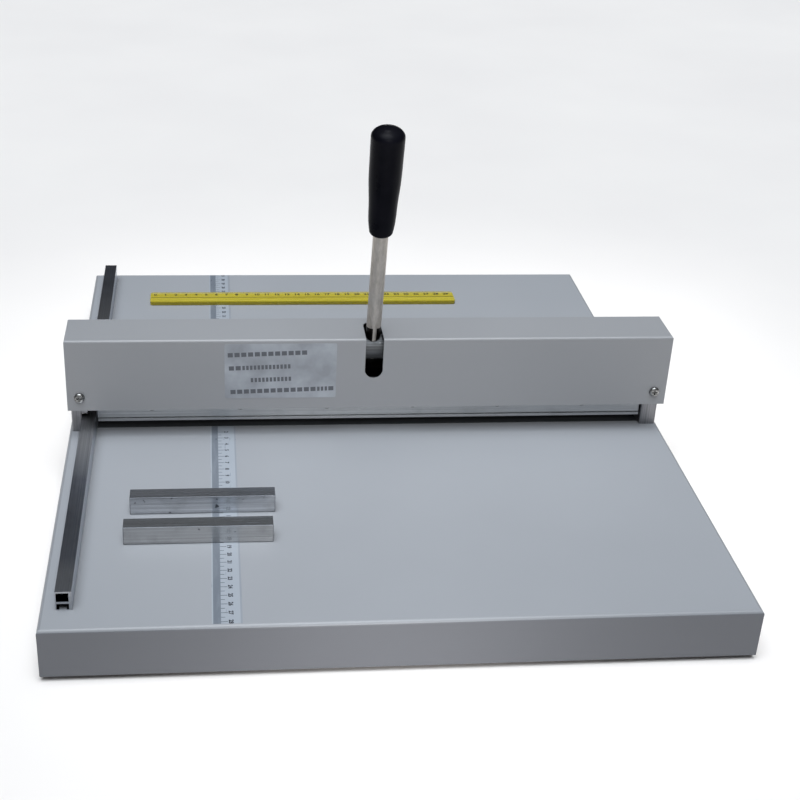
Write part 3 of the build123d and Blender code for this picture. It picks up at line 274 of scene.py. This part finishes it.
def brushed(
    name,
    dark,
    light,
    rough,
    grain,
    turn=(0, 0, 0),
    metallic=1.0,
    relief=0.15,
    blotch=0.3,
    shine=0.5,
    specks=0.0,
    painted_sheen=None,
    patches=(),
):
    """Metal with lines along one axis: grain is the noise scale along X, Y and Z, small along the lines.

    blotch and specks are the strength of dark stains and of pits. The sheen function gives, from the tree
    and coordinates, the share of painted reflection, a lighter metal. Each patch is a zone and the two
    colours of the lines inside it;
    many patches hold painted shade, and some painted light."""
    material, tree, shader, coords = new_material(name, Metallic=metallic, Specular_IOR_Level=shine)
    line = noise(tree, stretched(tree, coords, grain, turn), scale=1.0, detail=4.0, rough=0.65)
    stain = noise(tree, coords, scale=60.0, detail=4.0)
    tone = by_noise(tree, line, dark, light)
    tone = shaded(tree, spread(tree, stain, 0.5, 0.75, 0.0, blotch), tone, toned(dark, 0.6))
    if specks:
        pit = noise(tree, coords, scale=230.0, detail=1.0)
        tone = shaded(tree, spread(tree, pit, 0.72, 0.76, 0.0, specks), tone, PIT_GREY)
    if painted_sheen:
        sheen_tone = by_noise(tree, line, *SHEEN_METAL)
        tone = shaded(tree, painted_sheen(tree, coords), tone, sheen_tone)
    for zone, patch_dark, patch_light in patches:
        patch_tone = by_noise(tree, line, patch_dark, patch_light)
        tone = shaded(tree, within(tree, coords, *zone), tone, patch_tone)
    gloss = spread(tree, line, 0.25, 0.75, rough + 0.08, rough - 0.06)
    wire(tree, shader, tone, gloss, bump(tree, line, relief, 0.1 * MM))
    return material


def moulded(name, colour, rough, grain_scale, relief, shine=0.5):
    """Moulded plastic, rubber or film with a fine texture."""
    material, tree, shader, coords = new_material(name, Specular_IOR_Level=shine)
    grain = noise(tree, coords, scale=grain_scale, detail=3.0)
    patch = noise(tree, coords, scale=45.0, detail=3.0)
    tone = shaded(tree, spread(tree, patch, 0.35, 0.7, 0.0, 1.0), colour, toned(colour, 1.5, 0.002))
    gloss = spread(tree, patch, NOISE_LOW, NOISE_HIGH, rough - 0.05, rough + 0.08)
    wire(tree, shader, tone, gloss, bump(tree, grain, relief, 0.05 * MM))
    return material


BAND_BLUR = 0.05 * MM
RUBBED_FILM = (0.30, 0.33, 0.37)


def printed_tape(name, edges, colours):
    """Film strip with colour bands across its width; each edge is where the next colour starts, in X."""
    coat = {"Coat_Weight": 0.25, "Coat_Roughness": 0.12}
    material, tree, shader, coords = new_material(name, Specular_IOR_Level=0.5, **coat)
    across = along(tree, coords, "X")
    tone = colours[0]
    for edge, colour in zip(edges, colours[1:]):
        share = spread(tree, across, edge - BAND_BLUR, edge + BAND_BLUR, 0.0, 1.0)
        tone = shaded(tree, share, tone, colour)
    rub = noise(tree, stretched(tree, coords, (300, 40, 300)), scale=1.0, detail=4.0)
    tone = shaded(tree, spread(tree, rub, 0.52, 0.72, 0.0, 0.22), tone, RUBBED_FILM)
    gloss = spread(tree, rub, NOISE_LOW, NOISE_HIGH, 0.26, 0.38)
    wire(tree, shader, tone, gloss, bump(tree, rub, 0.05, 0.05 * MM))
    return material


def ink(name, colour):
    """Printing ink with slightly uneven coverage."""
    material, tree, shader, coords = new_material(name)
    cover = noise(tree, coords, scale=2500.0, detail=2.0)
    tone = shaded(tree, spread(tree, cover, 0.5, 0.75, 0.0, 0.6), colour, toned(colour, 0.6, 0.05))
    gloss = spread(tree, cover, NOISE_LOW, NOISE_HIGH, 0.4, 0.55)
    wire(tree, shader, tone, gloss)
    return material


# the rule's flow lines, and a dark band along its front edge that is painted shade
RULE_YELLOW = ((0.55, 0.455, 0.045), (0.66, 0.565, 0.065))
RULE_EDGE_SHADE = (0.36, 0.30, 0.012)
RULE_EDGE_SHADE_WIDTH = 2.2 * MM


def rule_plastic(name):
    """Translucent yellow plastic, dyed through, with faint flow lines, handling scratches and painted shade
    along its front edge.
    """
    material, tree, shader, coords = new_material(name, IOR=1.49, Transmission_Weight=0.35)
    flow = noise(tree, stretched(tree, coords, (12, 260, 260)), scale=1.0, detail=4.0)
    tone = by_noise(tree, flow, *RULE_YELLOW)
    band = maths(tree, "LESS_THAN", along(tree, coords, "Y"), RULE_LOW.y + RULE_EDGE_SHADE_WIDTH)
    tone = shaded(tree, band, tone, RULE_EDGE_SHADE)
    scratch = noise(tree, stretched(tree, coords, (40, 900, 900)), scale=1.0, detail=2.0)
    gloss = spread(tree, scratch, 0.4, NOISE_HIGH, 0.2, 0.36)
    wire(tree, shader, tone, gloss, bump(tree, scratch, 0.04, 0.05 * MM))
    return material


FLOOR_WHITE = ((0.865, 0.82, 0.785), (0.895, 0.85, 0.81))


def floor_finish():
    """Plain pale floor."""
    material, tree, shader, coords = new_material("floor_finish", Specular_IOR_Level=0.2)
    cloud = noise(tree, coords, scale=3.0, detail=3.0)
    tone = by_noise(tree, cloud, *FLOOR_WHITE)
    wire(tree, shader, tone, spread(tree, cloud, NOISE_LOW, NOISE_HIGH, 0.7, 0.8))
    return material


# the rail's painted reflection along Y: where it rises, where it falls, and where the tip's ends
SHEEN_RISE = (-0.135, -0.08)
SHEEN_FALL = (0.12, 0.24)
TIP_FALL = (-0.255, -0.235)
TIP_SHARE = 0.45


def rail_wear(tree, coords):
    """Share of painted reflection on the side rail: lighter near the beam, fading to both sides, and a
    little at its front end.
    """
    place = along(tree, coords, "Y")
    before = spread(tree, place, *SHEEN_RISE, 0.0, 1.0)
    behind = spread(tree, place, *SHEEN_FALL, 1.0, 0.0)
    tip = spread(tree, place, *TIP_FALL, TIP_SHARE, 0.0)
    return maths(tree, "MAXIMUM", maths(tree, "MINIMUM", before, behind), tip)


BED_GREY = (0.300, 0.311, 0.331)
# painted shade: the darker greys of the bed's bends and walls
FOLD_SHADE_GREY = (0.248, 0.257, 0.273)
WALL_SHADE_GREY = (0.133, 0.138, 0.153)
COVER_GREY = (0.268, 0.273, 0.285)
# painted shade: the near black inside the cover
INSIDE_SHADE_BLACK = (0.012, 0.012, 0.014)

# noise scales that draw lines along one axis, and two that draw only fine texture
ALONG_X = (8, 900, 900)
ALONG_Y = (900, 8, 900)
ALONG_Z = (900, 900, 8)
EVEN = (300, 300, 300)
FINE = (400, 400, 400)

# a finish for each material slot of the record
PAINT = {
    "bed_paint": powder_coat(
        "bed_powder_coat", BED_GREY, ((BED_FOLD, FOLD_SHADE_GREY), (BED_WALLS, WALL_SHADE_GREY))
    ),
    "cover_paint": powder_coat("cover_powder_coat", COVER_GREY, ((COVER_INSIDE, INSIDE_SHADE_BLACK),)),
    "frame_steel": brushed(
        "ground_steel", (0.20, 0.20, 0.21), (0.33, 0.33, 0.345), 0.42, ALONG_Z, blotch=0.5
    ),
    # black oxide steel, made near black and almost without shine as painted shade for where it lies in the
    # cover's shadow
    "dark_steel": brushed(
        "black_oxide_and_shade", (0.002, 0.002, 0.002), (0.007, 0.007, 0.007), 0.55, ALONG_X, metallic=0.0, shine=0.2
    ),
    "ram_steel": brushed(
        "ram_ground_steel", (0.36, 0.37, 0.38), (0.52, 0.53, 0.54), 0.38, ALONG_X, patches=RAM_PATCHES
    ),
    "hard_steel": brushed("polished_hard_steel", (0.50, 0.50, 0.51), (0.64, 0.64, 0.65), 0.22, ALONG_X),
    "die_black": brushed(
        "blackened_steel", (0.035, 0.039, 0.045), (0.075, 0.082, 0.09), 0.4, ALONG_X, metallic=0.5
    ),
    "bronze": brushed("sintered_bronze", (0.42, 0.27, 0.12), (0.55, 0.38, 0.18), 0.4, EVEN),
    "chrome_rod": brushed(
        "worn_chrome", (0.42, 0.386, 0.345), (0.60, 0.553, 0.50), 0.4, (450, 450, 90), (-LEAN, 0, 0),
        patches=ROD_PATCHES,
    ),
    "grip_plastic": moulded("black_moulded_plastic", (0.002, 0.002, 0.004), 0.3, 900.0, 0.1, shine=0.05),
    "zinc": brushed("zinc_plate", (0.45, 0.45, 0.44), (0.62, 0.62, 0.60), 0.3, FINE),
    "spring_steel": brushed("spring_wire", (0.32, 0.32, 0.33), (0.48, 0.48, 0.50), 0.3, (500, 500, 120)),
    "rail_aluminium": brushed(
        "extruded_aluminium", (0.17, 0.188, 0.225), (0.33, 0.352, 0.41), 0.32, ALONG_Y, relief=0.25,
        painted_sheen=rail_wear, patches=RAIL_PATCHES,
    ),
    "magnet_nickel": brushed("nickel_plate", (0.52, 0.51, 0.48), (0.62, 0.61, 0.58), 0.2, EVEN),
    "rubber": moulded("black_rubber", (0.012, 0.012, 0.012), 0.62, 600.0, 0.5),
    "label_film": moulded("silver_label_film", (0.232, 0.247, 0.27), 0.42, 1200.0, 0.05),
    "yellow_plastic": rule_plastic("yellow_rule_plastic"),
}
AGED_ZINC = brushed("aged_zinc", (0.10, 0.10, 0.10), (0.42, 0.42, 0.41), 0.3, FINE, blotch=0.6)
SHAFT_STEEL = brushed(
    "worn_oxide", (0.045, 0.047, 0.05), (0.12, 0.125, 0.132), 0.48, ALONG_X, metallic=0.55
)
DARK_INK = ink("dark_ink", (0.02, 0.022, 0.03))
GREY_INK = ink("grey_ink", (0.085, 0.09, 0.105))
OLIVE_INK = ink("olive_ink", (0.035, 0.03, 0.01))

# the printed strips' bands from left to right: white line, grey band, white scale, clear film edge; and
# where each band after the first starts, in X
TAPE_COLOURS = ((0.33, 0.36, 0.395), (0.155, 0.175, 0.205), (0.33, 0.36, 0.40), (0.26, 0.28, 0.31))
FRONT_EDGES = (-131.6 * MM, -126.4 * MM, -113.3 * MM)
REAR_EDGES = (-131.6 * MM, -126.2 * MM, -113.8 * MM)

# a stop block's dark and light tones, on its sides and on its top; the tops' tones are painted light,
# darker than the sides on block A and far lighter on block B
BLOCK_A_TONES = ((0.40, 0.41, 0.425), (0.65, 0.665, 0.69), (0.31, 0.325, 0.35), (0.53, 0.55, 0.59))
BLOCK_B_TONES = ((0.37, 0.37, 0.37), (0.59, 0.59, 0.585), (0.66, 0.70, 0.76), (0.94, 0.97, 1.0))

# darker lines on a stop block's front face: a thin one along its top, wider ones along its other three
# edges
EDGE_DARK = ((0.09, 0.095, 0.105), (0.12, 0.125, 0.135))
EDGE_LINE_THIN = 0.17 * MM
EDGE_LINE_WIDE = 0.35 * MM


def block_finish(name, dark, light, top_dark, top_light):
    """Handled aluminium of one stop block, with painted light on its top face and darker lines round its
    front face.
    """
    low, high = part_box(name)
    front = low.y + EDGE_LINE_THIN
    edges = (
        ((low.x - MM, low.y - MM, high.z - EDGE_LINE_THIN), (high.x + MM, front, high.z + MM)),
        ((low.x - MM, low.y - MM, low.z - MM), (high.x + MM, front, low.z + EDGE_LINE_WIDE)),
        ((low.x - MM, low.y - MM, low.z - MM), (low.x + EDGE_LINE_WIDE, front, high.z)),
        ((high.x - EDGE_LINE_WIDE, low.y - MM, low.z - MM), (high.x + MM, front, high.z)),
    )
    patches = [(top_face(low, high), top_dark, top_light)]
    patches += [(edge, *EDGE_DARK) for edge in edges]
    return brushed(f"{name}_aluminium", dark, light, 0.22, ALONG_X, blotch=0.5, specks=0.8, patches=patches)


def paint_frame():
    """Gives every CAD node a finish of its own, or the one of its material slot in the record."""
    slots = {row["node"]: row["material_slot"] for row in frame["record"]["subparts"]}
    own = {
        "cover_screws": AGED_ZINC,
        "cam_shaft": SHAFT_STEEL,
        "stop_block_a": block_finish("stop_block_a", *BLOCK_A_TONES),
        "stop_block_b": block_finish("stop_block_b", *BLOCK_B_TONES),
        "scale_tape_front": printed_tape("front_scale_print", FRONT_EDGES, TAPE_COLOURS),
        "scale_tape_rear": printed_tape("rear_scale_print", REAR_EDGES, TAPE_COLOURS),
    }
    for name, node in NODES.items():
        finish = own.get(name) or PAINT[slots[name]]
        for index in range(max(1, len(node.data.materials))):
            if node.data.materials:
                node.data.materials[index] = finish
            else:
                node.data.materials.append(finish)


# ---------------------------------------------------------------- pieces


# thickness of everything printed
INK_T = 0.02 * MM

# about the height of a digit in Blender's own font, as a share of the font's size
DIGIT_SHARE = 0.7


def piece(name, mesh, material, body):
    """Puts a finished mesh in the scene, riding on a body."""
    made = bpy.data.objects.new(name, mesh)
    bpy.context.scene.collection.objects.link(made)
    mesh.materials.clear()
    mesh.materials.append(material)
    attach(made, body)
    return made


def slab(bm, low, high):
    """Thin box between two corners."""
    low, high = Vector(low), Vector(high)
    size = high - low
    place = Matrix.Translation((low + high) / 2) @ Matrix.Diagonal((*size, 1))
    bmesh.ops.create_cube(bm, size=1, matrix=place)


def to_mesh(bm, name):
    """Finished mesh from a bmesh."""
    mesh = bpy.data.meshes.new(name)
    bm.to_mesh(mesh)
    bm.free()
    return mesh


def lettering(bm, text, height, place, bold):
    """Adds one printed number, INK_T thick, centred on the matrix place."""
    curve = bpy.data.curves.new("number", "FONT")
    curve.body = text
    curve.size = height / DIGIT_SHARE
    curve.align_x = "CENTER"
    curve.align_y = "CENTER"
    curve.resolution_u = 3
    curve.extrude = INK_T / 2
    curve.offset = bold
    holder = bpy.data.objects.new("number", curve)
    mesh = bpy.data.meshes.new_from_object(holder)
    mesh.transform(place)
    bm.from_mesh(mesh)
    bpy.data.objects.remove(holder)
    bpy.data.curves.remove(curve)
    bpy.data.meshes.remove(mesh)


# the bed's scales: columns of numbers in X, ticks and digits
FRONT_COLUMN = -119.8 * MM
REAR_COLUMN = -118.7 * MM
SCALE_TICK_HALF = 0.22 * MM
SCALE_LONG_TICK = 4.6 * MM
SCALE_SHORT_TICK = 2.8 * MM
SCALE_DIGIT = 3.0 * MM
SCALE_BOLD = 0.18 * MM


def make_scale(name, side, left, column, first, last):
    """Ticks each 5 mm from x = left and centimetre numbers, first to last, centred on x = column.

    side is -1 in front of the crease and 1 behind it."""
    ticks = bmesh.new()
    for step in range(2 * first, 2 * last + 1):
        y = CREASE_Y + side * step * 5 * MM
        reach = SCALE_LONG_TICK if step % 2 == 0 else SCALE_SHORT_TICK
        low = (left, y - SCALE_TICK_HALF, TAPE_TOP)
        high = (left + reach, y + SCALE_TICK_HALF, TAPE_TOP + INK_T)
        slab(ticks, low, high)
    piece(f"{name}_ticks", to_mesh(ticks, f"{name}_ticks"), DARK_INK, "root")
    numbers = bmesh.new()
    for value in range(first, last + 1):
        at = Vector((column, CREASE_Y + side * value * 10 * MM, TAPE_TOP + INK_T / 2))
        turn = Matrix.Rotation(math.radians(-90), 4, "Z")
        lettering(numbers, str(value), SCALE_DIGIT, Matrix.Translation(at) @ turn, SCALE_BOLD)
    piece(f"{name}_numbers", to_mesh(numbers, f"{name}_numbers"), DARK_INK, "root")


# the loose rule's print: its zero lies in from the rule's left end, and the rest is set from its rear edge
RULE_ZERO = 1.0 * MM
RULE_LENGTH = 300
RULE_BEVEL_WIDTH = 7.5 * MM
RULE_BEVEL_DROP = 1.6 * MM
RULE_TICK_HALF = 0.12 * MM
RULE_TICK_START = 0.3 * MM
RULE_LONG_TICK = 4.6 * MM
RULE_MIDDLE_TICK = 3.6 * MM
RULE_SHORT_TICK = 2.6 * MM
RULE_DIGIT = 3.9 * MM
RULE_BOLD = 0.22 * MM
RULE_NUMBER_ASIDE = 3.6 * MM
RULE_NUMBER_BACK = 9.9 * MM
RULE_LINE_BACK = 16.5 * MM
RULE_LINE_HALF = 0.42 * MM


def make_rule_print():
    """Millimetre ticks on the rule's bevel, numbers beside them and a line along its middle."""
    slope = math.atan2(RULE_BEVEL_DROP, RULE_BEVEL_WIDTH)
    rear = RULE_HIGH.y
    bevel_low = RULE_HIGH.z - RULE_BEVEL_DROP
    zero = RULE_LOW.x + RULE_ZERO
    ticks = bmesh.new()
    for step in range(0, RULE_LENGTH + 1):
        reach = RULE_LONG_TICK if step % 10 == 0 else RULE_MIDDLE_TICK if step % 5 == 0 else RULE_SHORT_TICK
        slab(ticks, (-RULE_TICK_HALF, -reach, 0), (RULE_TICK_HALF, -RULE_TICK_START, INK_T))
        place = Matrix.Translation((zero + step * MM, rear, bevel_low)) @ Matrix.Rotation(-slope, 4, "X")
        bmesh.ops.transform(ticks, matrix=place, verts=ticks.verts[-8:])
    piece("rule_ticks", to_mesh(ticks, "rule_ticks"), OLIVE_INK, "back_rule")
    numbers = bmesh.new()
    for value in range(0, RULE_LENGTH // 10):
        x = zero + value * 10 * MM + RULE_NUMBER_ASIDE
        at = Vector((x, rear - RULE_NUMBER_BACK, RULE_HIGH.z + INK_T / 2))
        lettering(numbers, str(value), RULE_DIGIT, Matrix.Translation(at), RULE_BOLD)
    middle = rear - RULE_LINE_BACK
    low = (zero, middle - RULE_LINE_HALF, RULE_HIGH.z)
    high = (zero + RULE_LENGTH * MM, middle + RULE_LINE_HALF, RULE_HIGH.z + INK_T)
    slab(numbers, low, high)
    piece("rule_numbers", to_mesh(numbers, "rule_numbers"), OLIVE_INK, "back_rule")


# The label's rows of blocks, in millimetres. A block is its width and the gap after it, and a row is the
# height of its middle, its start from the label's left end, and its blocks. Rows rise to the right.
WIDE_BLOCK = (4.1, 1.3)
NARROW_BLOCK = (2.0, 1.05)
LABEL_ROWS = (
    (40.0, 3.0, (WIDE_BLOCK,) * 12),
    (28.2, 3.5, (WIDE_BLOCK,) * 2 + (NARROW_BLOCK,) * 13),
    (17.0, 20.7, (NARROW_BLOCK,) * 11),
    (6.9, 4.0, (WIDE_BLOCK,) * 13 + (NARROW_BLOCK,) * 3 + (WIDE_BLOCK,)),
)
ROW_HALF = 1.9
LABEL_TILT = math.radians(1.8)


def make_label_print():
    """Blank information lines on the label: rows of plain blocks, with no lettering."""
    face = LABEL_LOW.y
    middle = (LABEL_LOW + LABEL_HIGH) / 2
    blocks = bmesh.new()
    for height, start, widths in LABEL_ROWS:
        left = LABEL_LOW.x + start * MM
        low = LABEL_LOW.z + (height - ROW_HALF) * MM
        high = LABEL_LOW.z + (height + ROW_HALF) * MM
        for block, gap in widths:
            slab(blocks, (left, face - INK_T, low), (left + block * MM, face, high))
            left += (block + gap) * MM
    turn = Matrix.Rotation(-LABEL_TILT, 4, "Y")
    place = Matrix.Translation(middle) @ turn @ Matrix.Translation(-middle)
    bmesh.ops.transform(blocks, matrix=place, verts=blocks.verts)
    piece("label_print", to_mesh(blocks, "label_print"), GREY_INK, "root")


def make_springs():
    """The two return springs, copied onto a piece of their own that rides on the root; the real springs
    shorten as the ram goes down.
    """
    copy = NODES["return_springs"].data.copy()
    springs = piece("spring_coils", copy, PAINT["spring_steel"], "root")
    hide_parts("return_springs")
    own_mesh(springs)


# ---------------------------------------------------------------- stage


FLOOR_REACH = 20

# the sun stands high, slightly to the front and to the left
SUN_STRENGTH = 2.70
SUN_ANGLE = math.radians(50)
SUN_COLOUR = (0.915, 0.99, 1.07)
SUN_TURN = (math.radians(14), math.radians(-5), 0)

# soft boxes: name, place, aim, width and height, watts, and the angle of the cone in degrees
SOFT_BOXES = (
    ("cover_box", (0.02, -0.80, 0.78), (0.0, -0.04, 0.12), (0.66, 0.10), 0.19, 34),
    ("bed_box", (0.08, -0.05, 1.15), (0.08, -0.049, 0), (0.78, 0.95), 0.475, 25),
    ("front_box", (-0.01, -0.66, 0.10), (-0.01, -0.30, 0.0), (0.16, 0.10), 0.087, 54),
)

# the sky's grey by the height of the direction: pale at the horizon and overhead, dark between
SKY_STOPS = ((0.0, 0.6), (0.03, 0.4), (0.09, 0.04), (0.6, 0.05), (0.85, 0.4), (1.0, 0.5))
SKY_TINT = (0.97, 0.985, 1.0)


def make_floor():
    """Plain floor that runs well past the camera's view."""
    bm = bmesh.new()
    bmesh.ops.create_grid(bm, x_segments=4, y_segments=4, size=FLOOR_REACH)
    floor = bpy.data.objects.new("floor", to_mesh(bm, "floor"))
    floor.data.materials.append(floor_finish())
    bpy.context.scene.collection.objects.link(floor)


def area_light(name, at, aim, size, watts, cone):
    """Soft box at a point, turned to another point, with a grid that keeps its light in a cone."""
    light = bpy.data.lights.new(name, "AREA")
    light.shape = "RECTANGLE"
    light.size, light.size_y = size
    light.energy = watts
    light.spread = math.radians(cone)
    holder = bpy.data.objects.new(name, light)
    holder.location = at
    holder.rotation_mode = "QUATERNION"
    holder.rotation_quaternion = (Vector(aim) - Vector(at)).to_track_quat("-Z", "Y")
    holder.visible_camera = False
    bpy.context.scene.collection.objects.link(holder)


def make_lights():
    """A broad sun, soft boxes aimed at the cover, the bed and the foot of the bed's front, and a sky."""
    sun = bpy.data.lights.new("overhead", "SUN")
    sun.energy = SUN_STRENGTH
    sun.angle = SUN_ANGLE
    sun.color = SUN_COLOUR
    holder = bpy.data.objects.new("overhead", sun)
    holder.rotation_euler = SUN_TURN
    bpy.context.scene.collection.objects.link(holder)
    for soft_box in SOFT_BOXES:
        area_light(*soft_box)
    world = bpy.data.worlds.new("studio")
    world.use_nodes = True
    tree = world.node_tree
    direction = add(tree, "ShaderNodeTexCoord").outputs["Generated"]
    height = along(tree, direction, "Z")
    ramp = add(tree, "ShaderNodeValToRGB", {0: height})
    elements = ramp.color_ramp.elements
    while len(elements) < len(SKY_STOPS):
        elements.new(0.5)
    for element, (position, grey) in zip(elements, SKY_STOPS):
        element.position = position
        element.color = (*(grey * part for part in SKY_TINT), 1)
    tree.links.new(ramp.outputs["Color"], tree.nodes["Background"].inputs["Color"])
    bpy.context.scene.world = world


def make_camera():
    """Camera at the viewing angle, from its yaw, pitch and roll."""
    forward = Vector((
        math.sin(CAMERA_YAW) * math.cos(CAMERA_PITCH),
        math.cos(CAMERA_YAW) * math.cos(CAMERA_PITCH),
        -math.sin(CAMERA_PITCH),
    ))
    level = Vector((math.cos(CAMERA_YAW), -math.sin(CAMERA_YAW), 0))
    upward = level.cross(forward)
    right = math.cos(CAMERA_ROLL) * level + math.sin(CAMERA_ROLL) * upward
    up = -math.sin(CAMERA_ROLL) * level + math.cos(CAMERA_ROLL) * upward
    lens = bpy.data.cameras.new("camera")
    lens.lens = CAMERA_LENS
    lens.shift_x, lens.shift_y = CAMERA_SHIFT
    lens.clip_start, lens.clip_end = CAMERA_CLIP
    camera = bpy.data.objects.new("camera", lens)
    turn = Matrix((right, up, -forward)).transposed().to_4x4()
    camera.matrix_world = Matrix.Translation(CAMERA_AT) @ turn
    bpy.context.scene.collection.objects.link(camera)
    bpy.context.scene.camera = camera


make_camera()
paint_frame()
make_scale("front_scale", -1, FRONT_EDGES[1], FRONT_COLUMN, 2, 28)
make_scale("rear_scale", 1, REAR_EDGES[1], REAR_COLUMN, 2, 31)
make_rule_print()
make_label_print()
make_springs()
make_floor()
make_lights()
bpy.context.scene.view_settings.view_transform = "Standard"
